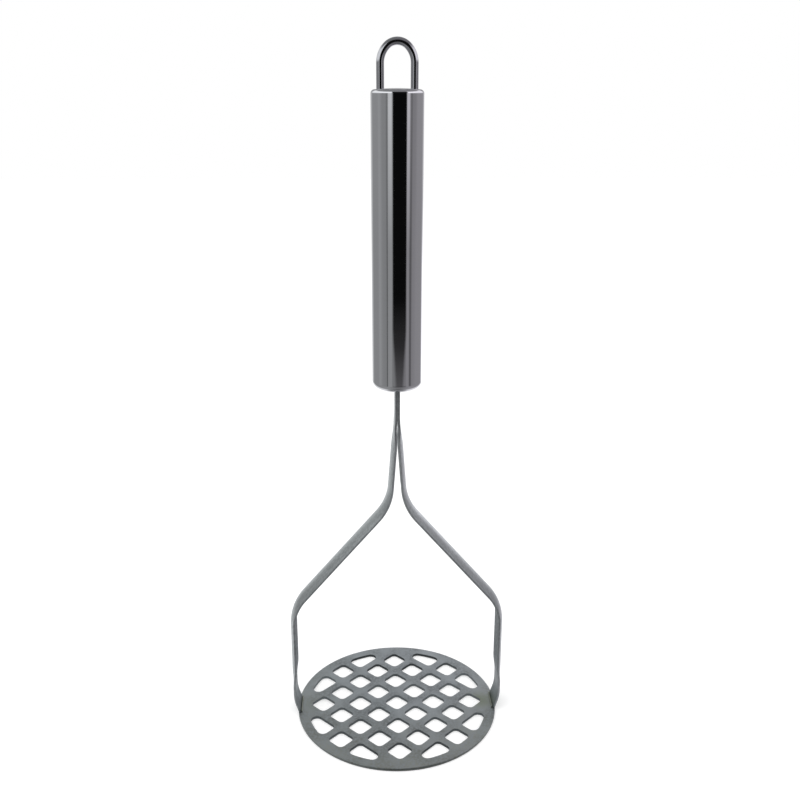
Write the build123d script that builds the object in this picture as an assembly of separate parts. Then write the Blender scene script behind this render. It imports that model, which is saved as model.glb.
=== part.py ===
from build123d import *
import math
import os

# Potato masher in welded stainless steel, in millimetres. +Z up, X across the two arms.
# The origin is on the plate's underside, where the masher stands, on the axis of the handle.

# Mashing plate
plate_diameter = 85.0
plate_thickness = 1.2
plate_edge_radius = 0.3
hole_pitch = 11.2
bar_width = 3.25
rim_width = 4.1
hole_corner_radius = 1.9
rim_corner_radius = 2.4
grid_turn = 45.0

# Arms: one strip each side, dished along its length and flat at both ends. The shares are
# of the dish, of the upright, from the floor to the elbow, and of the neck, from the split
# down
arm_width = 11.0
arm_thickness = 0.95
arm_dish = 1.3
dish_shift_share = 0.6
foot_inset = 0.35
foot_lean = 18.0
foot_rise = 5.9
ankle_radius = 18.0
upright_height = 49.25
upright_flat_share = 0.27
upright_runout_share = 0.16
elbow_radius = 19.9
slope_rise = 46.75
shoulder_radius = 22.9
neck_length = 36.9
neck_lean = 4.25
neck_flat_share = 0.075
neck_runout_share = 0.26
split_radius = 40.0
tang_showing = 10.2
tang_insertion = 24.0

# Handle: a tube with a pressed cap at each end
tube_diameter = 19.0
tube_wall = 0.6
tube_length = 105.1
cap_wall = 0.8
cap_fit = 0.05
skirt_length = 6.0
lower_cap_depth = 4.4
lower_knuckle_share = 0.61
top_cap_height = 1.8
top_knuckle_share = 0.78
slot_clearance = 0.1

# Hanging loop
wire_diameter = 2.75
leg_spacing = 12.1
loop_height = 16.9
haunch_share = 1.32
crown_share = 0.88
leg_insertion = 7.0
leg_hole_clearance = 0.05

# Weld metal
tang_weld_leg = 1.6
loop_weld_leg = 0.9
foot_weld_leg = 0.7

# One length that every cut runs past the face it starts from
overrun = 2.0

# Places that follow from the sizes above
plate_radius = plate_diameter / 2
rim_radius = plate_radius - rim_width
hole_side = hole_pitch - bar_width
lean_angle = math.radians(foot_lean)
foot_inner_x = plate_radius - foot_inset - arm_thickness / math.cos(lean_angle)
arm_inner_x = foot_inner_x + foot_rise * math.tan(lean_angle)
shoulder_height = upright_height + slope_rise
split_height = shoulder_height + neck_length
handle_base_height = split_height + tang_showing
tube_radius = tube_diameter / 2
bore_radius = tube_radius - tube_wall
skirt_radius = bore_radius - cap_fit
cavity_radius = skirt_radius - cap_wall
tube_bottom = handle_base_height + lower_cap_depth
tube_top = tube_bottom + tube_length
handle_top = tube_top + top_cap_height
tang_top = handle_base_height + tang_insertion
wire_radius = wire_diameter / 2
leg_x = leg_spacing / 2
haunch_radius = leg_x * haunch_share
crown_radius = leg_x * crown_share


def solid_of(shape):
    """The single solid that a boolean or a sweep gives."""
    solids = shape.solids()
    return solids[0] if len(solids) == 1 else Compound(children=list(solids))


def turned(profile):
    """A closed profile drawn in the XZ plane, turned about the handle's axis."""
    return revolve(make_face(profile), axis=Axis.Z)


# Mashing plate

def quarter_cells():
    """Grid places, across and up, of a quarter of the cells centred inside the rim."""
    reach = range(int(rim_radius / hole_pitch) + 1)
    return [(i, j) for i in reach for j in reach
            if i > 0 and math.hypot(i, j) * hole_pitch < rim_radius]


def rim_edges(cutter):
    """Upright edges of an opening where one of its sides meets the rim circle."""
    def on_rim(edge):
        return math.isclose(math.hypot(edge.center().X, edge.center().Y), rim_radius,
                            rel_tol=1e-6)
    return cutter.edges().filter_by(Axis.Z).filter_by(on_rim)


def hole_cutter(i, j):
    """One opening of the grid, with rounded corners.

    A cell that lies wholly inside the rim is a square. One that the rim would cut has its
    two inner sides only, and they run on to the rim.
    """
    height = plate_thickness + 2 * overrun
    low_x, low_y = i * hole_pitch - hole_side / 2, j * hole_pitch - hole_side / 2
    whole = math.hypot(low_x + hole_side, low_y + hole_side) < rim_radius
    length = hole_side if whole else rim_radius
    width = hole_side if whole or j == 0 else rim_radius
    sides = Pos(low_x, low_y) * Rectangle(length, width, align=(Align.MIN, Align.MIN))
    cutter = extrude(sides, height) & extrude(Circle(rim_radius), height)
    corner_radius = min(hole_corner_radius, hole_side / 4)
    inner = [edge for edge in cutter.edges().filter_by(Axis.Z) if edge not in rim_edges(cutter)]
    cutter = fillet(inner, corner_radius)
    if rim_edges(cutter):
        across = math.sqrt(rim_radius ** 2 - low_y ** 2) - low_x
        up = math.sqrt(rim_radius ** 2 - low_x ** 2) - low_y
        cutter = fillet(rim_edges(cutter), min(rim_corner_radius, 0.3 * min(across, up)))
    return cutter


def make_mashing_plate():
    """Flat disc with its grid of openings."""
    disc = extrude(Circle(plate_radius), plate_thickness)
    rims = disc.edges().filter_by(GeomType.CIRCLE)
    disc = fillet(rims, min(plate_edge_radius, plate_thickness / 3))
    place = Pos(0, 0, -overrun) * Rot(0, 0, grid_turn)
    cutters = [place * hole_cutter(0, 0)]
    for i, j in quarter_cells():
        cutter = hole_cutter(i, j)
        cutters += [place * Rot(0, 0, quarter * 90) * cutter for quarter in range(4)]
    return solid_of(disc - cutters)


# Arms

def strip_section(place, dish):
    """Cross-section of the strip: its width along Y, its crest away from the axis.

    Where it is dished, its two edges lie nearer the axis than the flat strip would, and
    its crest lies further out.
    """
    half = arm_width / 2
    low = -dish * dish_shift_share
    inner_left, inner_right = (-half, low), (half, low)
    outer_left, outer_right = (-half, low + arm_thickness), (half, low + arm_thickness)
    if dish == 0:
        inner = Line(inner_left, inner_right)
        outer = Line(outer_right, outer_left)
    else:
        crest = low + dish
        inner = ThreePointArc(inner_left, (0, crest), inner_right)
        outer = ThreePointArc(outer_right, (0, crest + arm_thickness), outer_left)
    sides = [Line(inner_right, outer_right), Line(outer_left, inner_left)]
    return place * make_face([inner, sides[0], outer, sides[1]])


def section_plane(point, direction):
    """Plane across the strip at a point of its path, whose y points away from the axis."""
    return Plane(origin=point, x_dir=(0, -1, 0), z_dir=direction)


def swept_strip(path, dish):
    """The strip with one cross-section all along a path."""
    return sweep(strip_section(section_plane(path @ 0, path % 0), dish), path=path)


def runout(start, end, direction, start_dish, end_dish):
    """Straight stretch over which the dish comes or goes."""
    first = strip_section(section_plane(start, direction), start_dish)
    last = strip_section(section_plane(end, direction), end_dish)
    return loft([first, last])


def lean_point(drop):
    """Point on the leaning neck, this far below the place where the strips part."""
    return Vector(drop * math.tan(math.radians(neck_lean)), 0, split_height - drop)


def foot_point(along):
    """Point of the foot's inner face, this far up the leaning foot from the plate."""
    run, rise = along * math.sin(lean_angle), along * math.cos(lean_angle)
    return Vector(foot_inner_x + run, 0, plate_thickness + rise)


def make_right_arm():
    """Foot, upright, elbow, slope, shoulder, neck and tang in one strip.

    The foot is drawn past the plate's top and cut off level with it, so that it stands
    on the plate.
    """
    up = Vector(0, 0, 1)
    foot_start = foot_point(-overrun)
    ankle = Vector(arm_inner_x, 0, plate_thickness + foot_rise)
    upright_flat = Vector(arm_inner_x, 0, upright_height * upright_flat_share)
    upright_dished = upright_flat + up * upright_height * upright_runout_share
    elbow = Vector(arm_inner_x, 0, upright_height)
    shoulder = lean_point(neck_length)
    neck_dished = lean_point(neck_length * (neck_flat_share + neck_runout_share))
    neck_flat = lean_point(neck_length * neck_flat_share)
    split = Vector(0, 0, split_height)
    tang_end = Vector(0, 0, tang_top)
    lean_up = (neck_flat - neck_dished).normalized()

    foot_path = FilletPolyline(foot_start, ankle, upright_flat, radius=ankle_radius)
    standing = (Align.CENTER, Align.CENTER, Align.MAX)
    under_foot = Box(2 * plate_diameter, plate_diameter, 2 * overrun, align=standing)
    foot = swept_strip(foot_path, 0) - Pos(0, 0, plate_thickness) * under_foot
    upright_runout = runout(upright_flat, upright_dished, up, 0, arm_dish)
    dished_path = FilletPolyline(
        upright_dished, elbow, shoulder, neck_dished, radius=[elbow_radius, shoulder_radius]
    )
    dished = swept_strip(dished_path, arm_dish)
    neck_runout = runout(neck_dished, neck_flat, lean_up, arm_dish, 0)
    tang = swept_strip(FilletPolyline(neck_flat, split, tang_end, radius=split_radius), 0)
    return solid_of(foot + upright_runout + dished + neck_runout + tang)


def make_left_arm(right_arm):
    """Mirror image of the right arm."""
    return mirror(right_arm, about=Plane.YZ)


# Handle

def dished_end(radius, depth, knuckle_share, level):
    """Solid of revolution with a flat top at this level and a dished bottom.

    Its bottom is a crown arc centred on the axis, which runs smoothly into a knuckle arc,
    which ends upright at this radius. The knuckle's radius is a share of the depth.
    """
    knuckle = depth * knuckle_share
    reach = radius - knuckle
    crown = (reach ** 2 + depth ** 2 - knuckle ** 2) / (2 * (depth - knuckle))
    meet_angle = math.asin(reach / (crown - knuckle))

    def on_crown(angle):
        return (crown * math.sin(angle), 0, level - depth + crown * (1 - math.cos(angle)))

    def on_knuckle(angle):
        return (reach + knuckle * math.sin(angle), 0, level - knuckle * math.cos(angle))

    right_angle = math.radians(90)
    crown_arc = ThreePointArc(on_crown(0), on_crown(meet_angle / 2), on_crown(meet_angle))
    knuckle_arc = ThreePointArc(
        on_crown(meet_angle), on_knuckle((meet_angle + right_angle) / 2), (radius, 0, level)
    )
    closing = Polyline((radius, 0, level), (0, 0, level), on_crown(0))
    return turned([crown_arc, knuckle_arc, closing])


def lower_cap_cavity():
    """Hollow of the lower cap, open at the top of its skirt."""
    depth = lower_cap_depth - cap_wall
    dish = dished_end(cavity_radius, depth, lower_knuckle_share, tube_bottom)
    return dish + Pos(0, 0, tube_bottom) * extrude(Circle(cavity_radius), skirt_length + overrun)


def make_lower_cap():
    """Domed cap: its skirt stands in the tube, and the tangs pass through its slot."""
    dome = dished_end(tube_radius, lower_cap_depth, lower_knuckle_share, tube_bottom)
    skirt = Pos(0, 0, tube_bottom) * extrude(Circle(skirt_radius), skirt_length)
    slot_size = (2 * (arm_thickness + slot_clearance), arm_width + 2 * slot_clearance)
    slot_depth = lower_cap_depth + 2 * overrun
    slot = Pos(0, 0, handle_base_height - overrun) * extrude(Rectangle(*slot_size), slot_depth)
    return solid_of(dome + skirt - lower_cap_cavity() - slot)


def make_handle_tube():
    """Plain tube between the two caps."""
    ring = Circle(tube_radius) - Circle(bore_radius)
    return solid_of(Pos(0, 0, tube_bottom) * extrude(ring, tube_length))


def top_cap_hollow():
    """Hollow of the top cap, open at the bottom of its skirt."""
    height = handle_top - cap_wall - tube_top + skirt_length
    return Pos(0, 0, tube_top - skirt_length) * extrude(Circle(cavity_radius), height)


def make_top_cap():
    """Nearly flat cap, with a rounded shoulder, a skirt and a hole for each leg."""
    cover = dished_end(tube_radius, top_cap_height, top_knuckle_share, 0)
    cover = Pos(0, 0, tube_top) * Rot(180, 0, 0) * cover
    skirt = Pos(0, 0, tube_top - skirt_length) * extrude(Circle(skirt_radius), skirt_length)
    hole_radius = wire_radius + leg_hole_clearance
    hole_length = top_cap_height + 2 * overrun
    hole = Pos(0, 0, tube_top - overrun) * extrude(Circle(hole_radius), hole_length)
    holes = [Pos(side * leg_x, 0, 0) * hole for side in (-1, 1)]
    return solid_of(cover + skirt - top_cap_hollow() - holes)


# Hanging loop

def make_hanging_loop():
    """Round wire: two upright legs, a haunch arc on each side and a crown arc."""
    cosine = (haunch_radius - leg_x) / (haunch_radius - crown_radius)
    sine = math.sqrt(1 - cosine ** 2)
    haunch_turn = math.acos(cosine)
    arch_height = (haunch_radius - crown_radius) * sine + crown_radius
    spring = handle_top + loop_height - wire_radius - arch_height
    haunch_x = leg_x - haunch_radius

    def on_haunch(angle):
        return (haunch_x + haunch_radius * math.cos(angle), 0,
                spring + haunch_radius * math.sin(angle))

    def left(point):
        return (-point[0], point[1], point[2])

    leg_end = (leg_x, 0, handle_top - leg_insertion)
    foot, middle, meet = on_haunch(0.0), on_haunch(haunch_turn / 2), on_haunch(haunch_turn)
    crown = (0, 0, spring + arch_height)
    path = Wire([
        Line(leg_end, foot),
        ThreePointArc(foot, middle, meet),
        ThreePointArc(meet, crown, left(meet)),
        ThreePointArc(left(meet), left(middle), left(foot)),
        Line(left(foot), left(leg_end)),
    ])
    wire_section = Plane(origin=leg_end, z_dir=(0, 0, 1)) * Circle(wire_radius)
    return solid_of(sweep(wire_section, path=path))


# Weld metal

def make_tang_weld():
    """Fillet weld on the inside of the lower cap, all round the pair of tangs."""
    pair = (2 * arm_thickness, arm_width)
    base = Rectangle(pair[0] + 2 * tang_weld_leg, pair[1] + 2 * tang_weld_leg)
    crest = Rectangle(pair[0] + tang_weld_leg / 2, pair[1] + tang_weld_leg / 2)
    low = handle_base_height + cap_wall
    high = low + 2 * tang_weld_leg
    bead = loft([Pos(0, 0, low) * base, Pos(0, 0, high) * crest])
    tangs = Pos(0, 0, low - overrun) * extrude(Rectangle(*pair), high - low + 2 * overrun)
    return solid_of((bead & lower_cap_cavity()) - tangs)


def make_loop_welds():
    """A fillet weld under the top cap round each leg of the loop."""
    ceiling = handle_top - cap_wall
    profile = Polyline(
        (wire_radius, 0, ceiling), (wire_radius + loop_weld_leg, 0, ceiling),
        (wire_radius, 0, ceiling - loop_weld_leg), (wire_radius, 0, ceiling)
    )
    bead = turned(profile)
    beads = [(Pos(side * leg_x, 0, 0) * bead) & top_cap_hollow() for side in (-1, 1)]
    return Compound(children=[solid_of(bead) for bead in beads])


def make_foot_welds():
    """A fillet weld on the plate along the inner face of each strip's foot."""
    root = foot_point(0)
    toe = root - Vector(foot_weld_leg, 0, 0)
    profile = make_face(Polyline(root, toe, foot_point(foot_weld_leg), root))
    bead = extrude(profile, arm_width / 2, both=True)
    return Compound(children=[solid_of(bead), solid_of(mirror(bead, about=Plane.YZ))])


# Every piece, written to its own file

def make_pieces():
    """All the pieces by name."""
    right_arm = make_right_arm()
    return {
        "mashing_plate": make_mashing_plate(),
        "left_arm": make_left_arm(right_arm),
        "right_arm": right_arm,
        "handle_tube": make_handle_tube(),
        "lower_cap": make_lower_cap(),
        "top_cap": make_top_cap(),
        "hanging_loop": make_hanging_loop(),
        "tang_weld": make_tang_weld(),
        "loop_welds": make_loop_welds(),
        "foot_welds": make_foot_welds(),
    }


os.makedirs("parts", exist_ok=True)
for name, piece in make_pieces().items():
    export_step(piece, f"parts/{name}.step")
    size = piece.bounding_box().size
    print(f"{name}: {piece.volume:.1f} mm3, {size.X:.2f} x {size.Y:.2f} x {size.Z:.2f} mm")
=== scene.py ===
import bmesh
import bpy
import math
from mathutils import Matrix, Vector


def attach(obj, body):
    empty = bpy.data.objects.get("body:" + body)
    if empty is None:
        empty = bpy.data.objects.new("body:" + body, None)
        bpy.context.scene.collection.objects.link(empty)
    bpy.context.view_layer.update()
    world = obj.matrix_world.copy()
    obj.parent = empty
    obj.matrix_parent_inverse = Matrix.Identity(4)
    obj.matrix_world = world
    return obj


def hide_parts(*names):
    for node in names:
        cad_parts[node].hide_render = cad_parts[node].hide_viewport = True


bl_info = {
    "name": "Potato Masher",
    "version": (1, 0, 0),
    "blender": (4, 5, 0),
    "location": "View3D > Sidebar > Masher",
    "description": "Models a welded steel potato masher around its packed frame",
    "category": "Add Mesh",
}

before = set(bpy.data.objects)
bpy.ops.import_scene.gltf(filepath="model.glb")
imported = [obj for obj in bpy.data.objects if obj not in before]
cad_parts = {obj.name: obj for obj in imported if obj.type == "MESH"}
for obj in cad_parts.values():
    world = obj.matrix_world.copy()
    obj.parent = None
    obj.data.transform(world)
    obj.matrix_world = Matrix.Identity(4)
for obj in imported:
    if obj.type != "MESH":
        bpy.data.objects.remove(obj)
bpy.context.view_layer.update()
MM = 0.001
X, Y, Z = Vector((1, 0, 0)), Vector((0, 1, 0)), Vector((0, 0, 1))
RIGHT_ANGLE = math.radians(90)
HALF_TURN = math.radians(180)
SMOOTH_ANGLE = math.radians(35)
NEAR = MM / 100

# The camera of the photograph, as fitted to the plate's grid and outline and to the
# handle's straight edges
CAMERA_PLACE = Vector((-12.78, -340.53, 248.5)) * MM
CAMERA_VIEW = Vector((0.0389, 0.9515, -0.3052))
CAMERA_ROLL = 0.002
LENS, SENSOR = 41.32, 36


# Sizes and colours that a user would change

def length(name, text, millimetres):
    """A length property, given in millimetres."""
    return bpy.props.FloatProperty(
        name=name, description=text, default=millimetres * MM, unit="LENGTH", precision=5)


def angle(name, text, degrees):
    """An angle property, given in degrees."""
    return bpy.props.FloatProperty(
        name=name, description=text, default=math.radians(degrees), subtype="ANGLE")


def share(name, text, value):
    """A share of another size."""
    return bpy.props.FloatProperty(
        name=name, description=text, default=value, min=0, max=2, subtype="FACTOR")


def linear(text):
    """An sRGB hex colour as the linear numbers that a socket takes."""
    levels = [int(text[place:place + 2], 16) / 255 for place in (1, 3, 5)]
    return [v / 12.92 if v <= 0.04045 else ((v + 0.055) / 1.055) ** 2.4 for v in levels]


def colour(name, text, hexadecimal):
    """A colour property, given in sRGB hex."""
    return bpy.props.FloatVectorProperty(
        name=name, description=text, default=linear(hexadecimal), size=3, min=0, max=1,
        subtype="COLOR")


class MasherPlate(bpy.types.PropertyGroup):
    """Sizes of the mashing plate."""
    radius: length("Radius", "From the axis to the plate's edge", 42.5)
    thickness: length("Thickness", "Thickness of the sheet", 1.2)
    edge: length("Edge radius", "Rounding of the outer edge", 0.3)
    pitch: length("Hole pitch", "From one opening to the next", 11.2)
    bar: length("Bar width", "Metal left between two openings", 3.25)
    rim: length("Rim width", "Plain ring outside the openings", 4.1)
    corner: length("Corner radius", "Rounding of an opening's corners", 1.9)
    rim_corner: length("Rim corner radius", "Rounding of the corners on the rim", 2.4)
    burr: length("Punched edge", "Worn rounding of the punched edges", 0.1)
    turn: angle("Grid turn", "Turn of the grid about the axis", 45)


class MasherArm(bpy.types.PropertyGroup):
    """Sizes of the two strips."""
    width: length("Width", "Width of the strip", 11)
    thickness: length("Thickness", "Thickness of the strip", 0.95)
    dish: length("Dish", "Height of the crest that runs along the strip", 1.3)
    shift: share("Dish shift", "Share of the dish by which the edges move in", 0.6)
    inset: length("Foot inset", "From the plate's edge to the foot's outer face", 0.35)
    lean: angle("Foot lean", "Lean of the foot", 18)
    foot_rise: length("Foot rise", "From the plate's top to the ankle", 5.9)
    ankle: length("Ankle radius", "Bend above the foot", 18)
    upright: length("Upright height", "From the floor to the elbow", 49.25)
    flat_share: share("Flat foot", "Share of the upright that is flat", 0.27)
    runout_share: share("Run-out", "Share of the upright where the dish comes", 0.16)
    elbow: length("Elbow radius", "Bend at the top of the upright", 19.9)
    slope: length("Slope rise", "From the elbow up to the shoulder", 46.75)
    shoulder: length("Shoulder radius", "Bend under the neck", 22.9)
    neck: length("Neck length", "From the shoulder up to where the strips meet", 36.9)
    neck_lean: angle("Neck lean", "Lean of the neck", 4.25)
    neck_flat_share: share("Flat neck", "Share of the neck that is flat", 0.075)
    neck_runout_share: share("Neck run-out", "Share of the neck where the dish goes", 0.26)
    split: length("Split radius", "Bend where the strips meet", 40)
    showing: length("Tang showing", "From the split up to the handle", 10.2)
    insertion: length("Tang insertion", "Length of the tang inside the handle", 24)
    edge: length("Edge rounding", "Tumbled edge of the strip", 0.17)


class MasherHandle(bpy.types.PropertyGroup):
    """Sizes of the handle."""
    radius: length("Radius", "Outer radius of the tube", 9.5)
    wall: length("Tube wall", "Wall of the tube", 0.6)
    tube: length("Tube length", "Length of the tube between its caps", 105.1)
    cap_wall: length("Cap wall", "Wall of the caps", 0.8)
    fit: length("Cap fit", "Clearance between a skirt and the tube", 0.05)
    skirt: length("Skirt", "Length of a cap inside the tube", 6)
    dome: length("Dome depth", "Depth of the lower cap", 4.4)
    dome_share: share("Dome knuckle", "Knuckle radius as a share of the depth", 0.61)
    cover: length("Cover height", "Height of the top cap", 1.8)
    cover_share: share("Cover knuckle", "Knuckle radius as a share of the height", 0.78)
    slot: length("Slot clearance", "Clearance of the slot round the tangs", 0.1)
    hole: length("Hole clearance", "Clearance of the holes round the wire", 0.05)


class MasherLoop(bpy.types.PropertyGroup):
    """Sizes of the hanging loop."""
    wire: length("Wire radius", "Radius of the wire", 1.375)
    leg: length("Leg", "From the axis to a leg", 6.05)
    height: length("Height", "From the handle's top to the loop's top", 16.9)
    haunch_share: share("Haunch", "Haunch radius as a share of the leg's distance", 1.32)
    crown_share: share("Crown", "Crown radius as a share of the leg's distance", 0.88)
    insertion: length("Insertion", "Length of the legs inside the handle", 7)


class MasherFinish(bpy.types.PropertyGroup):
    """Colours of the metals and of the studio."""
    polish: colour("Polish", "Mirror polished stainless steel", "#dcdce0")
    wire: colour("Wire", "Drawn and polished wire", "#bfbfc4")
    satin: colour("Satin", "Satin steel of the plate", "#bac1c4")
    strip: colour("Strip", "Brighter satin steel of the two strips", "#dde2e4")
    # Its darkness is partly the punched steel's own and partly painted shade for the inside of
    # the openings
    sheared: colour("Sheared", "Sheared walls of the punched openings", "#868d8f")
    weld: colour("Weld", "Weld metal", "#b2b4b2")
    tint: colour("Tint", "Olive heat tint round the welds", "#8b957b")
    bloom: colour("Bloom", "Olive bloom left on the satin steel by handling", "#a5a797")
    paper: colour("Paper", "Floor and backdrop", "#ffffff")


GROUPS = {
    "masher_plate": MasherPlate,
    "masher_arm": MasherArm,
    "masher_handle": MasherHandle,
    "masher_loop": MasherLoop,
    "masher_finish": MasherFinish,
}


def sizes(name):
    """The settings of one group."""
    return getattr(bpy.context.scene, name)


def foot_x():
    """Where the inner face of a foot stands on the plate."""
    arm = sizes("masher_arm")
    return sizes("masher_plate").radius - arm.inset - arm.thickness / math.cos(arm.lean)


def handle_bottom():
    """Height of the lowest point of the handle."""
    arm = sizes("masher_arm")
    return arm.upright + arm.slope + arm.neck + arm.showing


# Modelling by hand: a primitive, then edit mode, then modifiers

def only(piece=None):
    """Leave edit mode and select this object alone."""
    if bpy.context.mode != "OBJECT":
        bpy.ops.object.mode_set(mode="OBJECT")
    bpy.ops.object.select_all(action="DESELECT")
    if piece:
        piece.select_set(True)
        bpy.context.view_layer.objects.active = piece


def named(name):
    """Name the new object, put its place into its mesh, and open it in edit mode."""
    piece = bpy.context.object
    piece.name = name
    piece.data.name = name
    bpy.ops.object.transform_apply(location=True, rotation=True, scale=True)
    bpy.ops.object.mode_set(mode="EDIT")
    bpy.ops.mesh.select_mode(type="VERT")
    bpy.ops.mesh.select_all(action="SELECT")
    return piece


def point_at(name, place):
    """A plane merged to one vertex, from which a profile is drawn."""
    only()
    bpy.ops.mesh.primitive_plane_add(size=MM, location=place)
    piece = named(name)
    bpy.ops.mesh.merge(type="CENTER")
    return piece


def pick(test):
    """Select the vertices that pass a test on their place."""
    bpy.ops.mesh.select_all(action="DESELECT")
    shape = bmesh.from_edit_mesh(bpy.context.object.data)
    for vertex in shape.verts:
        vertex.select_set(bool(test(vertex.co)))
    shape.select_flush(True)
    bmesh.update_edit_mesh(bpy.context.object.data)


def close_up(gap=0.002 * MM):
    """Merge the seam and the poles, and turn the faces outwards."""
    bpy.ops.mesh.select_all(action="SELECT")
    bpy.ops.mesh.remove_doubles(threshold=gap)
    bpy.ops.mesh.normals_make_consistent(inside=False)


def modified(piece, kind, **settings):
    """Add a modifier with its settings and apply it."""
    only(piece)
    modifier = piece.modifiers.new(kind.title(), kind)
    for name, value in settings.items():
        setattr(modifier, name, value)
    bpy.ops.object.modifier_apply(modifier=modifier.name)


def cut(piece, cutter):
    """Take one shape out of another."""
    only(cutter)
    modified(piece, "BOOLEAN", operation="DIFFERENCE", object=cutter, solver="EXACT")
    bpy.data.objects.remove(cutter)


def copied(piece, name):
    """A copy with its own mesh."""
    twin = piece.copy()
    twin.data = piece.data.copy()
    twin.name = name
    twin.data.name = name
    bpy.context.scene.collection.objects.link(twin)
    return twin


def mirrored(piece, name):
    """A mirror image of a piece, left to right, with its own mesh."""
    # The mesh holds what was edited once edit mode is left
    only()
    twin = copied(piece, name)
    only(twin)
    twin.scale.x = -1
    bpy.ops.object.transform_apply(location=False, rotation=False, scale=True)
    bpy.ops.object.mode_set(mode="EDIT")
    close_up()
    only(twin)
    return twin


def finished(piece, node, material=None, smooth=SMOOTH_ANGLE):
    """Shade a piece, give it a material if it has none yet, and let it stand for its
    part of the frame."""
    only(piece)
    bpy.ops.object.shade_smooth_by_angle(angle=smooth)
    # Large flat faces keep their own normal beside the small faces of their edges
    modified(piece, "WEIGHTED_NORMAL", weight=100, keep_sharp=True)
    if not piece.data.materials:
        piece.data.materials.append(material)
    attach(piece, "root")
    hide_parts(node)


class Pen:
    """Draws the selected vertices on along straights and arcs in one plane."""

    def __init__(self, u, v, heading=0.0, across=X, up=Z):
        self.at = Vector((u, v))
        self.heading = heading
        self.across = across
        self.up = up

    def place(self, at):
        """A point of the plane as a point in space."""
        return self.across * at.x + self.up * at.y

    def line_to(self, u, v):
        """Extrude to a point of the plane."""
        step = self.place(Vector((u, v)) - self.at)
        bpy.ops.mesh.extrude_region_move(TRANSFORM_OT_translate={"value": step})
        self.at = Vector((u, v))

    def lines(self, *points):
        """Extrude from point to point."""
        for u, v in points:
            self.line_to(u, v)

    def straight(self, run):
        """Extrude straight on."""
        way = Vector((math.cos(self.heading), math.sin(self.heading)))
        self.line_to(*(self.at + way * run))

    def turn(self, radius, bend, steps):
        """Spin through an arc, to the left for a positive bend."""
        side = math.copysign(radius, bend)
        centre = self.at + side * Vector((-math.sin(self.heading), math.cos(self.heading)))
        axis = self.across.cross(self.up)
        bpy.ops.mesh.spin(
            steps=steps, angle=-bend, center=self.place(centre), axis=axis, use_auto_merge=False)
        self.heading += bend
        out = side * Vector((math.sin(self.heading), -math.cos(self.heading)))
        self.at = centre + out


# Materials

def add_node(tree, kind, settings=None, links=None):
    """A node with its settings, its sockets' values and its links."""
    node = tree.nodes.new(kind)
    for name, value in (settings or {}).items():
        if isinstance(name, str) and hasattr(node, name):
            setattr(node, name, value)
        else:
            node.inputs[name].default_value = value
    for name, source in (links or {}).items():
        tree.links.new(source, node.inputs[name])
    return node


def ramp(tree, source, stops):
    """Grey levels over a 0 to 1 input."""
    node = add_node(tree, "ShaderNodeValToRGB", links={"Fac": source})
    elements = node.color_ramp.elements
    while len(elements) < len(stops):
        elements.new(0.5)
    for element, (place, level) in zip(elements, stops):
        element.position = place
        element.color = (level, level, level, 1)
    return node.outputs["Color"]


def blank(name):
    """A material with an empty node tree, and its output."""
    material = bpy.data.materials.new(name)
    material.use_nodes = True
    tree = material.node_tree
    tree.nodes.clear()
    return material, tree, add_node(tree, "ShaderNodeOutputMaterial")


def surface_place(tree):
    """The point's own place on the object, in metres."""
    return add_node(tree, "ShaderNodeTexCoord").outputs["Object"]


def noise(tree, place, millimetres, stretch=(1, 1, 1), detail=2.0):
    """Soft noise whose grains are about this long, finer where it is stretched."""
    scaled = add_node(tree, "ShaderNodeMapping", {"Scale": stretch}, {"Vector": place})
    return add_node(
        tree, "ShaderNodeTexNoise", {"Scale": 1 / (millimetres * MM), "Detail": detail},
        {"Vector": scaled.outputs["Vector"]}).outputs["Fac"]


def fade(tree, value, start, end, low=0.0, high=1.0):
    """A value that goes from low to high while its input goes from start to end."""
    return add_node(tree, "ShaderNodeMapRange", {
        "From Min": start, "From Max": end, "To Min": low, "To Max": high},
        {"Value": value}).outputs["Result"]


def between(tree, value, low, high):
    """A 0 to 1 value stretched to lie between two others."""
    return fade(tree, value, 0.0, 1.0, low, high)


def reckoned(tree, operation, *values):
    """The result of a math node; each value is a number or a socket."""
    node = add_node(tree, "ShaderNodeMath", {"operation": operation})
    for socket, value in zip(node.inputs, values):
        if isinstance(value, bpy.types.NodeSocket):
            tree.links.new(value, socket)
        else:
            socket.default_value = value
    return node.outputs[0]


def distance(tree, place, point):
    """How far a place is from a point."""
    return add_node(tree, "ShaderNodeVectorMath", {"operation": "DISTANCE", 1: point},
                    {0: place}).outputs["Value"]


def near_feet(tree, place, reach):
    """A mask that is strongest beside the two foot welds and fades to 0 over this reach."""
    split = add_node(tree, "ShaderNodeSeparateXYZ", links={"Vector": place})
    folded = add_node(tree, "ShaderNodeCombineXYZ", links={
        "X": reckoned(tree, "ABSOLUTE", split.outputs["X"]), "Y": split.outputs["Y"],
        "Z": split.outputs["Z"]})
    # The middle of the tint is 4.5 mm inwards from the foot, and its outline is ragged
    # by 1.6 mm
    ragged = 1.6 * MM
    spot = (foot_x() - 4.5 * MM, 0, sizes("masher_plate").thickness)
    apart = distance(tree, folded.outputs["Vector"], spot)
    apart = reckoned(tree, "MULTIPLY_ADD", noise(tree, place, 3.0), ragged, apart)
    mask = add_node(tree, "ShaderNodeMapRange", {
        "interpolation_type": "SMOOTHSTEP", "From Min": ragged, "From Max": reach,
        "To Min": 1.0, "To Max": 0.0}, {"Value": apart})
    # The tint is stronger at the right foot
    heat = fade(tree, split.outputs["X"], -foot_x(), foot_x(), 0.15, 0.65)
    return reckoned(tree, "MULTIPLY", mask.outputs["Result"], heat)


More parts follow.
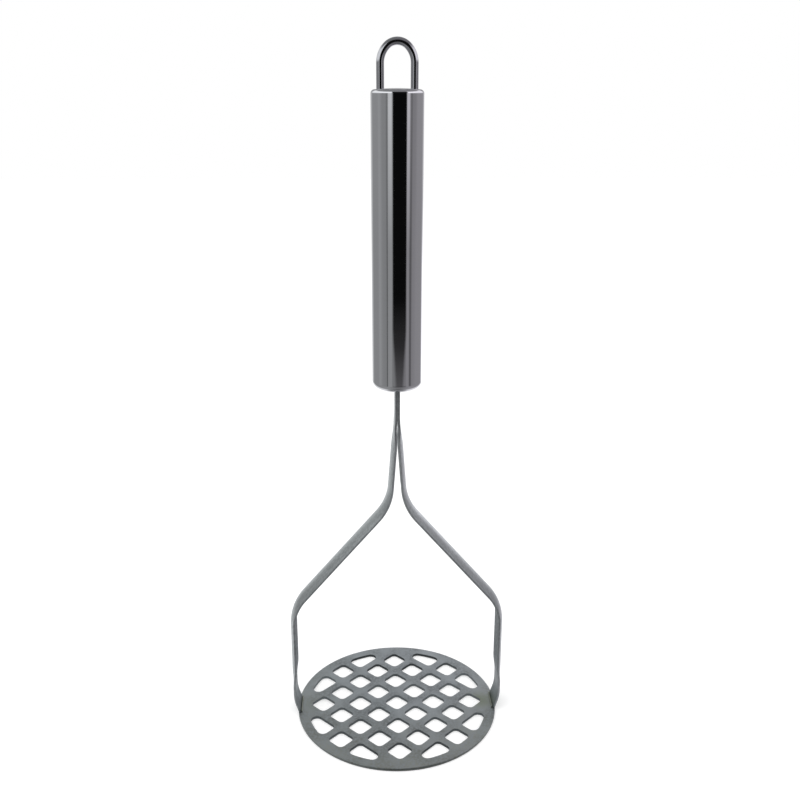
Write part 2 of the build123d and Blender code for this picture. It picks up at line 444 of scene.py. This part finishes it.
def mixed(tree, factor, one, other):
    """Two colours mixed by a factor; each is a colour or a socket."""
    node = add_node(tree, "ShaderNodeMix", {"data_type": "RGBA"}, {0: factor})
    for socket, value in ((6, one), (7, other)):
        if isinstance(value, bpy.types.NodeSocket):
            tree.links.new(value, node.inputs[socket])
        else:
            node.inputs[socket].default_value = (*value, 1)
    return node.outputs[2]


def bump(tree, height, strength, depth):
    """A normal lifted by a height field; the depth is in metres."""
    return add_node(tree, "ShaderNodeBump", {"Strength": strength, "Distance": depth},
                    {"Height": height}).outputs["Normal"]


def darker(tone, level):
    """A colour brought down to this share of itself."""
    return [value * level for value in tone]


def mirror_polished_stainless(tree, place, finish):
    """Stainless steel buffed to a mirror: sharp reflections that waver a little, as a
    buffing wheel leaves them, under a faint haze of wipe marks running round the handle."""
    # Buffing waves are 9 mm long; wipe marks are 0.7 mm wide, drawn coarser than the
    # usual 0.05 mm, so that they show
    waves = noise(tree, place, 9.0, (1, 1, 0.6), 1.0)
    wipes = noise(tree, place, 7.0, (1, 1, 10), 3.0)
    return (mixed(tree, wipes, darker(finish.polish, 0.95), finish.polish),
            between(tree, wipes, 0.03, 0.1),
            bump(tree, waves, 0.25, 0.05 * MM))


def drawn_polished_wire(tree, place, finish):
    """Stainless steel wire, drawn and polished: bright, with faint die lines along its
    legs that break up the edges of its reflections."""
    # The lines are 0.4 mm wide and 6 mm long
    lines = noise(tree, place, 5.0, (12, 12, 0.8), 3.0)
    return (mixed(tree, lines, darker(finish.wire, 0.88), finish.wire),
            between(tree, lines, 0.06, 0.16),
            bump(tree, lines, 0.2, 0.02 * MM))


def tumbled_satin(tree, place, tone, cloudy, bloomed, grain, low_darkening, stretch):
    """Pressed stainless sheet with a tumbled satin finish: an even grey sheen with cloudy
    patches and short fine scratches, dulled where it was handled, darker low down towards the
    plate, and tinted olive beside the welds."""
    # Clouds are 11 mm across; the tumbling marks are 0.9 mm, drawn coarser than the
    # usual 0.1 mm, so that they show
    finish = sizes("masher_finish")
    clouds = noise(tree, place, 11.0, (1, 1, 1), 2.0)
    marks = noise(tree, place, 0.9, stretch, 4.0)
    worn = mixed(tree, between(tree, clouds, -1.8, 2.6), darker(tone, 1 - cloudy), tone)
    # An olive bloom in patches 20 mm across, stronger towards the front of the rim
    patches = between(tree, noise(tree, place, 20.0, (1, 1, 1), 1.0), 0.5, 1.5)
    behind = (0, 20 * MM, 0)
    outwards = fade(tree, distance(tree, place, behind), 25 * MM, 62 * MM, 0.0, bloomed)
    worn = mixed(tree, reckoned(tree, "MULTIPLY", patches, outwards), worn, finish.bloom)
    grained = mixed(tree, between(tree, marks, -0.8, 1.8), worn, darker(tone, 1 - grain))
    split = add_node(tree, "ShaderNodeSeparateXYZ", links={"Vector": place})
    # Near the plate the steel darkens, mixed towards the tone of the openings' walls
    towards_plate = fade(tree, split.outputs["Z"], 2 * MM, 11 * MM, low_darkening, 0.0)
    grained = mixed(tree, towards_plate, grained, finish.sheared)
    return (mixed(tree, near_feet(tree, place, 9 * MM), grained, finish.tint),
            between(tree, clouds, 0.34, 0.46),
            bump(tree, marks, 0.3, 0.02 * MM))


def satin_plate_stainless(tree, place, finish):
    """The plate: cloudy and handled, with marks that run every way."""
    return tumbled_satin(tree, place, finish.satin, cloudy=0.5, bloomed=0.6, grain=0.12,
                         low_darkening=0.0, stretch=(1, 1, 1))


def satin_strip_stainless(tree, place, finish):
    """The strips: brighter and evener, with marks that run upwards."""
    return tumbled_satin(tree, place, finish.strip, cloudy=0.1, bloomed=0.0, grain=0.3,
                         low_darkening=0.6, stretch=(1, 1, 0.6))


def sheared_stainless(tree, place, finish):
    """The walls of the punched openings: cut bright by the shear in places, torn and dull in
    others, and darkened with painted shade, which stands for the shade inside the openings."""
    # The tears are 0.4 mm wide and run down the wall
    tears = noise(tree, place, 1.2, (3, 3, 0.5), 3.0)
    return (mixed(tree, tears, darker(finish.sheared, 0.6), finish.sheared),
            between(tree, tears, 0.4, 0.65),
            bump(tree, tears, 0.4, 0.03 * MM))


def heat_tinted_weld(tree, place, finish):
    """Stainless weld metal as it cooled: dull, in patches of grey and olive 1.5 mm
    across."""
    patches = noise(tree, place, 1.5, (1, 1, 1), 3.0)
    return (mixed(tree, patches, finish.weld, finish.tint),
            between(tree, patches, 0.3, 0.5),
            bump(tree, patches, 0.3, 0.03 * MM))


def material_of(paint):
    """A bare metal, made once and named after the function that paints it, which gives
    its colour, roughness and normal."""
    name = paint.__name__
    if name in bpy.data.materials:
        return bpy.data.materials[name]
    material, tree, output = blank(name)
    tone, roughness, normal = paint(tree, surface_place(tree), sizes("masher_finish"))
    shader = add_node(tree, "ShaderNodeBsdfPrincipled", {"Metallic": 1.0}, {
        "Base Color": tone, "Roughness": roughness, "Normal": normal})
    tree.links.new(shader.outputs[0], output.inputs["Surface"])
    return material


# The plate

def square_cutter(plate, i, j):
    """A rounded square of the grid, drawn on the XY plane."""
    side, corner = plate.pitch - plate.bar, plate.corner
    low_u, low_v = i * plate.pitch - side / 2, j * plate.pitch - side / 2
    piece = point_at("square", (low_u + corner, low_v, -plate.thickness))
    pen = Pen(low_u + corner, low_v, across=X, up=Y)
    for _ in range(4):
        pen.straight(side - 2 * corner)
        pen.turn(corner, RIGHT_ANGLE, 5)
    return piece


def rim_cutter(plate, i, j):
    """A three-sided opening, with two straight sides that run on to the rim circle."""
    side, corner, round_off = plate.pitch - plate.bar, plate.corner, plate.rim_corner
    low_u, low_v = i * plate.pitch - side / 2, j * plate.pitch - side / 2
    rim = plate.radius - plate.rim
    first_u = math.sqrt((rim - round_off) ** 2 - (low_v + round_off) ** 2)
    last_v = math.sqrt((rim - round_off) ** 2 - (low_u + round_off) ** 2)
    first_angle = math.atan2(low_v + round_off, first_u)
    last_angle = math.atan2(last_v, low_u + round_off)
    piece = point_at("three_sided", (low_u + corner, low_v, -plate.thickness))
    pen = Pen(low_u + corner, low_v, across=X, up=Y)
    pen.straight(first_u - low_u - corner)
    pen.turn(round_off, first_angle + RIGHT_ANGLE, 7)
    pen.turn(rim, last_angle - first_angle, 8)
    pen.turn(round_off, HALF_TURN - last_angle, 7)
    pen.straight(last_v - low_v - corner)
    pen.turn(corner, RIGHT_ANGLE, 5)
    return piece


def make_cutters(plate):
    """All the openings' cutters as one object: a quarter of the grid, turned four times."""
    side = plate.pitch - plate.bar
    rim = plate.radius - plate.rim
    reach = range(int(rim / plate.pitch) + 1)
    cells = [(0, 0)] + [(i, j) for i in reach for j in reach
                        if i > 0 and math.hypot(i, j) * plate.pitch < rim]
    cutters = []
    for i, j in cells:
        outer = math.hypot(i * plate.pitch + side / 2, j * plate.pitch + side / 2)
        cutter = (square_cutter if outer < rim else rim_cutter)(plate, i, j)
        close_up()
        bpy.ops.mesh.edge_face_add()
        bpy.ops.mesh.extrude_region_move(
            TRANSFORM_OT_translate={"value": Z * plate.thickness * 3})
        close_up()
        only(cutter)
        for quarter in range(4 if i else 1):
            twin = copied(cutter, "cutter")
            twin.rotation_euler.z = plate.turn + quarter * RIGHT_ANGLE
            cutters.append(twin)
        bpy.data.objects.remove(cutter)
    only(cutters[0])
    for cutter in cutters:
        cutter.select_set(True)
    bpy.ops.object.join()
    bpy.ops.object.transform_apply(location=True, rotation=True, scale=True)
    return bpy.context.object


class MASHER_OT_plate(bpy.types.Operator):
    """Model the round plate with its grid of punched openings"""
    bl_idname = "masher.plate"
    bl_label = "Mashing plate"

    def execute(self, context):
        plate = sizes("masher_plate")
        cutters = make_cutters(plate)
        only()
        bpy.ops.mesh.primitive_cylinder_add(
            vertices=256, radius=plate.radius, depth=plate.thickness,
            location=(0, 0, plate.thickness / 2))
        disc = named("pierced_plate")
        pick(lambda place: True)
        bpy.ops.mesh.bevel(offset=plate.edge, segments=4, affect="EDGES")
        cut(disc, cutters)
        rim = plate.radius - plate.rim / 2
        disc.data.materials.append(material_of(satin_plate_stainless))
        disc.data.materials.append(material_of(sheared_stainless))
        # The walls of the openings get the punched-wall steel, darkened with painted shade
        for face in disc.data.polygons:
            inside = face.center.xy.length < rim
            face.material_index = int(inside and abs(face.normal.z) < 0.5)
        modified(disc, "BEVEL", width=plate.burr, segments=2, limit_method="ANGLE",
                 angle_limit=math.radians(60))
        finished(disc, "mashing_plate")
        return {"FINISHED"}


# The arms

def smooth(value):
    """A share from 0 to 1 that starts and ends gently."""
    return value * value * (3 - 2 * value)


def run_out(pen, run, steps=14):
    """Extrude on while the dish flattens to nothing."""
    left = 1.0
    for step in range(1, steps + 1):
        pen.straight(run / steps)
        now = 1 - smooth(step / steps)
        bpy.ops.transform.resize(
            value=(now / left, 1, 1), center_override=pen.place(pen.at))
        left = now


def draw_upwards(arm, inner_x, dished):
    """Draw the dished section on up: the upright, the slope, the neck and the tang."""
    shoulder_x = arm.neck * math.tan(arm.neck_lean)
    slope = math.atan2(inner_x - shoulder_x, arm.slope)
    elbow_run = arm.elbow * math.tan(slope / 2)
    shoulder_run = arm.shoulder * math.tan((slope - arm.neck_lean) / 2)
    split_run = arm.split * math.tan(arm.neck_lean / 2)
    neck_scale = 1 / math.cos(arm.neck_lean)
    flat_neck = arm.neck * arm.neck_flat_share * neck_scale
    neck_runout = arm.neck * arm.neck_runout_share * neck_scale
    pen = Pen(inner_x, dished, RIGHT_ANGLE)
    pen.straight(arm.upright - dished - elbow_run)
    pen.turn(arm.elbow, slope, 20)
    pen.straight(arm.slope / math.cos(slope) - elbow_run - shoulder_run)
    pen.turn(arm.shoulder, arm.neck_lean - slope, 18)
    pen.straight(arm.neck * neck_scale - shoulder_run - flat_neck - neck_runout)
    run_out(pen, neck_runout)
    pen.straight(flat_neck - split_run)
    pen.turn(arm.split, -arm.neck_lean, 6)
    pen.line_to(0, handle_bottom() + arm.insertion)


def draw_downwards(arm, inner_x, dished, plate_top):
    """Draw the dished section on down to the foot, and past the plate's top."""
    ankle_run = arm.ankle * math.tan(arm.lean / 2)
    pen = Pen(inner_x, dished, -RIGHT_ANGLE)
    run_out(pen, arm.upright * arm.runout_share)
    pen.straight(pen.at.y - plate_top - arm.foot_rise - ankle_run)
    pen.turn(arm.ankle, -arm.lean, 10)
    pen.straight(arm.foot_rise / math.cos(arm.lean) - ankle_run + plate_top)


class MASHER_OT_arms(bpy.types.Operator):
    """Model one dished strip from plate to handle, and its mirror image"""
    bl_idname = "masher.arms"
    bl_label = "Arms"

    def execute(self, context):
        arm = sizes("masher_arm")
        plate_top = sizes("masher_plate").thickness
        inner_x = foot_x() + arm.foot_rise * math.tan(arm.lean)
        dished = arm.upright * (arm.flat_share + arm.runout_share)

        # The dished cross-section is an arc across the strip, drawn where the dish starts
        half = arm.width / 2
        dish_radius = (half ** 2 + arm.dish ** 2) / (2 * arm.dish)
        dish_angle = math.asin(half / dish_radius)
        low_x = inner_x - arm.dish * arm.shift
        piece = point_at("right_strip", (low_x, -half, dished))
        pen = Pen(low_x, -half, RIGHT_ANGLE - dish_angle, across=X, up=Y)
        pen.turn(dish_radius, 2 * dish_angle, 16)
        bpy.ops.mesh.select_all(action="SELECT")
        draw_upwards(arm, inner_x, dished)
        pick(lambda place: abs(place.z - dished) < NEAR)
        draw_downwards(arm, inner_x, dished, plate_top)

        # The sheet so drawn is the inner face, and thickens outwards
        close_up()
        pick(lambda place: True)
        shape = bmesh.from_edit_mesh(piece.data)
        if sum(face.normal.x for face in shape.faces) < 0:
            bpy.ops.mesh.flip_normals()
        modified(piece, "SOLIDIFY", thickness=arm.thickness, offset=1, use_even_offset=True)

        # The foot is cut off level with the plate's top
        bpy.ops.object.mode_set(mode="EDIT")
        bpy.ops.mesh.select_all(action="SELECT")
        bpy.ops.mesh.bisect(
            plane_co=Z * plate_top, plane_no=Z, use_fill=True, clear_inner=True)
        close_up()
        modified(piece, "BEVEL", width=arm.edge, segments=3, limit_method="ANGLE",
                 angle_limit=math.radians(50))
        steel = material_of(satin_strip_stainless)
        twin = mirrored(piece, "left_strip")
        finished(piece, "right_arm", steel)
        finished(twin, "left_arm", steel)
        return {"FINISHED"}


class MASHER_OT_foot_beads(bpy.types.Operator):
    """Model the rippled weld bead inside each foot"""
    bl_idname = "masher.foot_beads"
    bl_label = "Foot weld beads"

    def execute(self, context):
        arm = sizes("masher_arm")
        # The bead is a string 0.65 mm thick that swells every 0.6 mm and is pinched at its
        # last end. It is sunk 0.05 mm into the plate and ends 0.02 mm short of the foot
        thick, ripple, slices, pinched = 0.65 * MM, 0.6 * MM, 4, 0.55
        whole = arm.width * 0.97
        start = -whole / 2
        only()
        bpy.ops.mesh.primitive_circle_add(
            vertices=16, radius=thick / 2, location=(0, start, 0),
            rotation=(RIGHT_ANGLE, 0, 0))
        piece = named("right_foot_bead")
        corner = Vector((foot_x(), 0, sizes("masher_plate").thickness))
        axis = corner + Vector((-0.42, 0, 0.42)) * thick
        bpy.ops.transform.translate(value=axis)
        centre = axis + Y * start
        width, step_long = 1.0, ripple / slices
        steps = round(whole / step_long)
        for step in range(1, steps + 1):
            centre.y += step_long
            bpy.ops.mesh.extrude_region_move(
                TRANSFORM_OT_translate={"value": Y * step_long})
            now = 0.86 + 0.14 * (step % slices) / (slices - 1)
            now *= pinched if step == steps else 1
            bpy.ops.transform.resize(
                value=(now / width, 1, now / width), center_override=centre)
            width = now
        bpy.ops.mesh.edge_face_add()
        pick(lambda place: place.y < start + NEAR)
        bpy.ops.mesh.edge_face_add()
        close_up()
        weld = material_of(heat_tinted_weld)
        twin = mirrored(piece, "left_foot_bead")
        for bead in (piece, twin):
            finished(bead, "foot_welds", weld, math.radians(70))
        return {"FINISHED"}


# The handle

def cap_curve(radius, depth, knuckle_share):
    """Crown radius, knuckle radius and the angle where they meet, of a dished end."""
    knuckle = depth * knuckle_share
    reach = radius - knuckle
    crown = (reach ** 2 + depth ** 2 - knuckle ** 2) / (2 * (depth - knuckle))
    return crown, knuckle, math.asin(reach / (crown - knuckle))


def turned_on_lathe(piece):
    """Spin the drawn profile about the axis, and close its seam and its poles."""
    bpy.ops.mesh.select_all(action="SELECT")
    bpy.ops.mesh.spin(steps=144, angle=4 * RIGHT_ANGLE, center=(0, 0, 0), axis=Z,
                      use_auto_merge=True)
    close_up()
    only(piece)


def make_tube(handle, low, high, steel):
    """Turn the tube, open at both ends."""
    outer, bore = handle.radius, handle.radius - handle.wall
    tube = point_at("handle_barrel", (outer, 0, low))
    pen = Pen(outer, low)
    pen.lines((outer, high), (bore, high), (bore, low), (outer, low))
    turned_on_lathe(tube)
    finished(tube, "handle_tube", steel)


def make_lower_cap(handle, low, steel):
    """Press the domed cap: its face, its skirt inside the tube, and the slot for the
    tangs."""
    arm = sizes("masher_arm")
    bottom, rim = low - handle.dome, low + handle.skirt
    skirt = handle.radius - handle.wall - handle.fit
    cavity = skirt - handle.cap_wall
    cap = point_at("domed_cap", (0, 0, bottom))
    pen = Pen(0, bottom)
    crown, knuckle, meet = cap_curve(handle.radius, handle.dome, handle.dome_share)
    pen.turn(crown, meet, 14)
    pen.turn(knuckle, RIGHT_ANGLE - meet, 14)
    pen.lines((skirt, low), (skirt, rim), (cavity, rim), (cavity, low))
    pen.heading = -RIGHT_ANGLE
    crown, knuckle, meet = cap_curve(
        cavity, handle.dome - handle.cap_wall, handle.dome_share)
    pen.turn(knuckle, meet - RIGHT_ANGLE, 8)
    pen.turn(crown, -meet, 8)
    turned_on_lathe(cap)
    only()
    bpy.ops.mesh.primitive_cube_add(size=1, location=(0, 0, bottom), scale=(
        2 * (arm.thickness + handle.slot), arm.width + 2 * handle.slot, 3 * handle.dome))
    cut(cap, named("slot"))
    modified(cap, "BEVEL", width=0.08 * MM, segments=2, limit_method="ANGLE",
             angle_limit=math.radians(60))
    finished(cap, "lower_cap", steel)


def make_top_cap(handle, high, steel):
    """Press the flat cap: its face, its skirt inside the tube, and the holes for the
    loop's legs."""
    loop = sizes("masher_loop")
    top, rim = high + handle.cover, high - handle.skirt
    skirt = handle.radius - handle.wall - handle.fit
    cavity = skirt - handle.cap_wall
    ceiling = top - handle.cap_wall
    cap = point_at("flat_cap", (0, 0, top))
    pen = Pen(0, top)
    crown, knuckle, meet = cap_curve(handle.radius, handle.cover, handle.cover_share)
    pen.turn(crown, -meet, 8)
    pen.turn(knuckle, meet - RIGHT_ANGLE, 12)
    pen.lines((skirt, high), (skirt, rim), (cavity, rim), (cavity, ceiling), (0, ceiling))
    turned_on_lathe(cap)
    for side in (-1, 1):
        only()
        bpy.ops.mesh.primitive_cylinder_add(
            vertices=48, radius=loop.wire + handle.hole, depth=4 * handle.cover,
            location=(side * loop.leg, 0, top))
        cut(cap, named("hole"))
    finished(cap, "top_cap", steel)


class MASHER_OT_handle(bpy.types.Operator):
    """Turn the tube and its two pressed caps"""
    bl_idname = "masher.handle"
    bl_label = "Handle"

    def execute(self, context):
        handle = sizes("masher_handle")
        low = handle_bottom() + handle.dome
        high = low + handle.tube
        steel = material_of(mirror_polished_stainless)
        make_tube(handle, low, high, steel)
        make_lower_cap(handle, low, steel)
        make_top_cap(handle, high, steel)
        return {"FINISHED"}


class MASHER_OT_hanging_loop(bpy.types.Operator):
    """Bend the round wire of the hanging loop"""
    bl_idname = "masher.hanging_loop"
    bl_label = "Hanging loop"

    def execute(self, context):
        loop = sizes("masher_loop")
        handle = sizes("masher_handle")
        top = handle_bottom() + handle.dome + handle.tube + handle.cover
        haunch, crown = loop.leg * loop.haunch_share, loop.leg * loop.crown_share
        haunch_turn = math.acos((haunch - loop.leg) / (haunch - crown))
        arch = (haunch - crown) * math.sin(haunch_turn) + crown
        spring = top + loop.height - loop.wire - arch
        start = top - loop.insertion
        only()
        bpy.ops.mesh.primitive_circle_add(
            vertices=32, radius=loop.wire, location=(loop.leg, 0, start))
        wire = named("wire_loop")
        pen = Pen(loop.leg, start, RIGHT_ANGLE)
        pen.line_to(loop.leg, spring)
        pen.turn(haunch, haunch_turn, 16)
        pen.turn(crown, HALF_TURN - 2 * haunch_turn, 22)
        pen.turn(haunch, haunch_turn, 16)
        pen.line_to(-loop.leg, start)
        bpy.ops.mesh.edge_face_add()
        pick(lambda place: place.x > 0 and place.z < start + NEAR)
        bpy.ops.mesh.edge_face_add()
        close_up()
        finished(wire, "hanging_loop", material_of(drawn_polished_wire),
                 math.radians(60))
        return {"FINISHED"}


class MASHER_OT_inner_welds(bpy.types.Operator):
    """Give the weld beads inside the handle their finish"""
    bl_idname = "masher.inner_welds"
    bl_label = "Inner welds"

    def execute(self, context):
        for name in ("tang_weld", "loop_welds"):
            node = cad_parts[name]
            node.data.materials.clear()
            node.data.materials.append(material_of(heat_tinted_weld))
        return {"FINISHED"}


# The studio

# The room that the metal mirrors is a cylinder round the masher
ROOM_RADIUS, ROOM_HEIGHT = 0.4, 0.9

# Its grey levels by direction, in degrees round the axis with the camera at about -92:
# low down, higher up, and in the white band above the masher
LOW_WALL = (
    (-180, 0.40), (-160, 0.29), (-140, 0.26), (-138.5, 0.11), (-135.5, 0.11), (-134, 0.32),
    (-118, 0.35), (-112, 0.24), (-52, 0.24), (-48, 0.30), (-38, 0.28), (-35, 0.12),
    (-27, 0.14), (-24, 0.26), (0, 0.30), (25, 0.36), (90, 0.40), (180, 0.40))
HIGH_WALL = (
    (-180, 0.40), (-160, 0.29), (-145, 0.29), (-136, 0.18), (-134, 0.30), (-131, 0.66),
    (-118, 0.70), (-112, 0.30), (-52, 0.30), (-48, 0.62), (-38, 0.60), (-34, 0.24),
    (-27, 0.16), (-22, 0.25), (0, 0.27), (30, 0.42), (60, 0.38), (180, 0.40))
WHITE_BAND = ((-180, 1.2), (-118, 1.2), (-113, 0.01), (-49, 0.01), (-44, 1.2), (180, 1.2))


def paper_floor():
    """Matt white paper: lit plainly, and white to the camera and in reflections, with the
    object's shadow kept."""
    material, tree, output = blank("white_paper")
    paper = sizes("masher_finish").paper
    path = add_node(tree, "ShaderNodeLightPath").outputs
    seen = reckoned(tree, "MAXIMUM", path["Is Camera Ray"], path["Is Glossy Ray"])
    seen = reckoned(tree, "MAXIMUM", seen, path["Is Transmission Ray"])
    matt = add_node(tree, "ShaderNodeBsdfDiffuse", {"Color": (*darker(paper, 0.8), 1)})
    light = add_node(tree, "ShaderNodeEmission", {"Color": (*paper, 1)},
                     {"Strength": reckoned(tree, "MULTIPLY", seen, 0.3)})
    both = add_node(tree, "ShaderNodeAddShader", links={
        0: matt.outputs[0], 1: light.outputs[0]})
    tree.links.new(both.outputs[0], output.inputs["Surface"])
    return material


def front_of_room(tree, around, off_flag, height):
    """Grey walls with a pale strip on each side, a thin dark gap outside each strip, and
    a black flag between them, a little to the right of the camera."""
    turn = reckoned(tree, "MULTIPLY_ADD", around, 0.5 / HALF_TURN, 0.5)
    low, high, band = (
        ramp(tree, turn, [(degrees / 360 + 0.5, level) for degrees, level in stops])
        for stops in (LOW_WALL, HIGH_WALL, WHITE_BAND))
    walls = mixed(tree, fade(tree, height, 0.14, 0.25), low, high)

    # The flag is narrower, softer and fainter near the floor
    half_width = fade(
        tree, height, 0.02, 0.075, math.radians(14), math.radians(30.2))
    softness = fade(tree, height, 0.04, 0.12, math.radians(6), math.radians(2))
    inside = reckoned(tree, "SUBTRACT", half_width, off_flag)
    edge = fade(tree, reckoned(tree, "DIVIDE", inside, softness), -1.0, 1.0)
    depth = ramp(tree, height, [(0.0, 0.2), (0.03, 0.62), (0.06, 0.88), (0.1, 1.0)])
    flag = reckoned(tree, "MULTIPLY", edge, depth)
    walls = mixed(tree, flag, walls, (0.004, 0.004, 0.004))

    # Above the masher a white band goes round, with the flag in it, and grey above that
    walls = mixed(tree, fade(tree, height, 0.29, 0.33), walls, band)
    return mixed(tree, fade(tree, height, 0.5, 0.6), walls, (0.25, 0.25, 0.25))


def back_of_room(tree, x, height):
    """A plain wall with a white band above the masher, and in its middle a pale window
    over a skirting that is brighter on the right."""
    sky = ramp(tree, height, [
        (0.15, 0.31), (0.28, 0.34), (0.33, 1.1), (0.5, 1.1), (0.6, 0.3)])
    window = ramp(tree, height, [
        (0.15, 0.6), (0.2, 0.66), (0.3, 0.52), (0.37, 0.34), (0.5, 0.32), (0.9, 0.32)])
    skirting = fade(tree, x, -0.02, 0.02, 0.7, 1.3)
    middle = mixed(tree, fade(tree, height, 0.12, 0.18, 1.0, 0.0), window, skirting)
    aside = reckoned(tree, "ABSOLUTE", x)
    return mixed(tree, fade(tree, aside, 0.2, 0.28, 1.0, 0.0), sky, middle)


def floor_of_room(tree, place, x, y, off_flag, behind):
    """Grey in front and pale in a wedge behind, but darkened by a painted shadow of the plate
    just behind it, which the inner faces of the arms mirror."""
    away = add_node(tree, "ShaderNodeVectorMath", {"operation": "LENGTH"}, {0: place})
    near = ramp(tree, away.outputs["Value"], [(0.05, 0.2), (0.12, 0.34), (0.4, 0.3)])
    ahead = fade(tree, off_flag, math.radians(10), math.radians(55), 0.6, 1.0)
    front = reckoned(tree, "MULTIPLY", near, ahead)
    wedge = reckoned(tree, "MULTIPLY_ADD", y, -0.5, reckoned(tree, "ABSOLUTE", x))
    beyond = reckoned(tree, "MULTIPLY", behind, fade(tree, wedge, 0.07, 0.13, 1.0, 0.0))
    # A painted shadow of the plate darkens the floor just behind it
    plate_shadow_reach = distance(tree, place, (0, 0.065, 0))
    return mixed(tree, beyond, front, fade(tree, plate_shadow_reach, 0.04, 0.055, 0.2, 0.92))


def reflection_wall():
    """What the metal mirrors, painted on the room's cylinder by direction and height. It
    is a little blue-green on the left and a little violet on the right."""
    material, tree, output = blank("reflection_wall")
    place = surface_place(tree)
    split = add_node(tree, "ShaderNodeSeparateXYZ", links={"Vector": place}).outputs
    x, y, height = split["X"], split["Y"], split["Z"]
    around = reckoned(tree, "ARCTAN2", y, x)
    off_flag = reckoned(tree, "ADD", around, math.radians(81.4))
    off_flag = reckoned(tree, "ABSOLUTE", off_flag)
    behind = fade(tree, y, -0.05, 0.05)
    walls = mixed(tree, behind, front_of_room(tree, around, off_flag, height),
                  back_of_room(tree, x, height))
    floor = floor_of_room(tree, place, x, y, off_flag, behind)
    walls = mixed(tree, fade(tree, height, 0.0, 0.025, 1.0, 0.0), walls, floor)
    cast = mixed(tree, fade(tree, x, -0.15, 0.15), (0.98, 1.0, 1.0), (1.0, 0.98, 1.02))
    tinged = add_node(tree, "ShaderNodeVectorMath", {"operation": "MULTIPLY"},
                      {0: walls, 1: cast})
    light = add_node(tree, "ShaderNodeEmission",
                     links={"Color": tinged.outputs["Vector"]})
    tree.links.new(light.outputs[0], output.inputs["Surface"])
    return material


def staged(piece, material):
    """Give a studio object its material."""
    only(piece)
    piece.data.materials.append(material)


def add_camera():
    """The camera at the photograph's place."""
    lens = bpy.data.cameras.new("camera")
    lens.lens = LENS
    lens.sensor_width = SENSOR
    camera = bpy.data.objects.new("camera", lens)
    bpy.context.scene.collection.objects.link(camera)
    forward = CAMERA_VIEW.normalized()
    right = forward.cross(Z).normalized()
    up = right.cross(forward)
    right, up = right + up * CAMERA_ROLL, up - right * CAMERA_ROLL
    turn = Matrix((right.normalized(), up.normalized(), -forward)).transposed().to_4x4()
    turn.translation = CAMERA_PLACE
    camera.matrix_world = turn
    bpy.context.scene.camera = camera


class MASHER_OT_studio(bpy.types.Operator):
    """Set the camera, the paper, the soft light and what the metal reflects"""
    bl_idname = "masher.studio"
    bl_label = "Studio"

    def execute(self, context):
        add_camera()
        only()
        # The paper is 6 m wide and lies a hair under the plate
        bpy.ops.mesh.primitive_plane_add(size=6, location=(0, 0, -0.05 * MM))
        floor = context.object
        floor.name = "paper"
        staged(floor, paper_floor())

        only()
        bpy.ops.mesh.primitive_cylinder_add(
            vertices=128, radius=ROOM_RADIUS, depth=ROOM_HEIGHT,
            location=(0, 0, ROOM_HEIGHT / 2 - 0.03 * MM))
        wall = named("reflection_wall")
        only(wall)
        bpy.ops.object.shade_smooth()
        staged(wall, reflection_wall())
        for ray in ("camera", "diffuse", "transmission", "volume_scatter", "shadow"):
            setattr(wall, "visible_" + ray, False)

        world = bpy.data.worlds.new("white_studio")
        context.scene.world = world
        world.use_nodes = True
        world.node_tree.nodes["Background"].inputs["Color"].default_value = (1, 1, 1, 1)
        lamp = bpy.data.lights.new("soft_box", "AREA")
        lamp.energy = 3.0
        lamp.size = 0.9
        soft_box = bpy.data.objects.new("soft_box", lamp)
        # It hangs in front on the left and faces the masher
        above = Matrix.Translation((-0.5, -0.4, 1.1))
        facing = Vector((-0.5, -0.4, 1.0)).to_track_quat("Z", "Y").to_matrix().to_4x4()
        soft_box.matrix_world = above @ facing
        soft_box.visible_glossy = False
        context.scene.collection.objects.link(soft_box)
        context.scene.view_settings.view_transform = "Standard"
        return {"FINISHED"}


OPERATORS = (
    MASHER_OT_studio, MASHER_OT_plate, MASHER_OT_arms, MASHER_OT_foot_beads,
    MASHER_OT_handle, MASHER_OT_hanging_loop, MASHER_OT_inner_welds,
)


class MASHER_PT_pieces(bpy.types.Panel):
    """Lists the masher's pieces in the sidebar"""
    bl_label = "Potato Masher"
    bl_space_type = "VIEW_3D"
    bl_region_type = "UI"
    bl_category = "Masher"

    def draw(self, context):
        for operator in OPERATORS:
            self.layout.operator(operator.bl_idname)


def register():
    """Register the settings, the operators and the panel."""
    for group in GROUPS.values():
        bpy.utils.register_class(group)
    for name, group in GROUPS.items():
        setattr(bpy.types.Scene, name, bpy.props.PointerProperty(type=group))
    for operator in (*OPERATORS, MASHER_PT_pieces):
        bpy.utils.register_class(operator)


def unregister():
    """Take back what register did."""
    for operator in (MASHER_PT_pieces, *reversed(OPERATORS)):
        bpy.utils.unregister_class(operator)
    for name, group in GROUPS.items():
        delattr(bpy.types.Scene, name)
        bpy.utils.unregister_class(group)


def main():
    """Model every piece and the studio."""
    register()
    for operator in OPERATORS:
        category, name = operator.bl_idname.split(".")
        getattr(getattr(bpy.ops, category), name)()


if __name__ == "__main__":
    main()
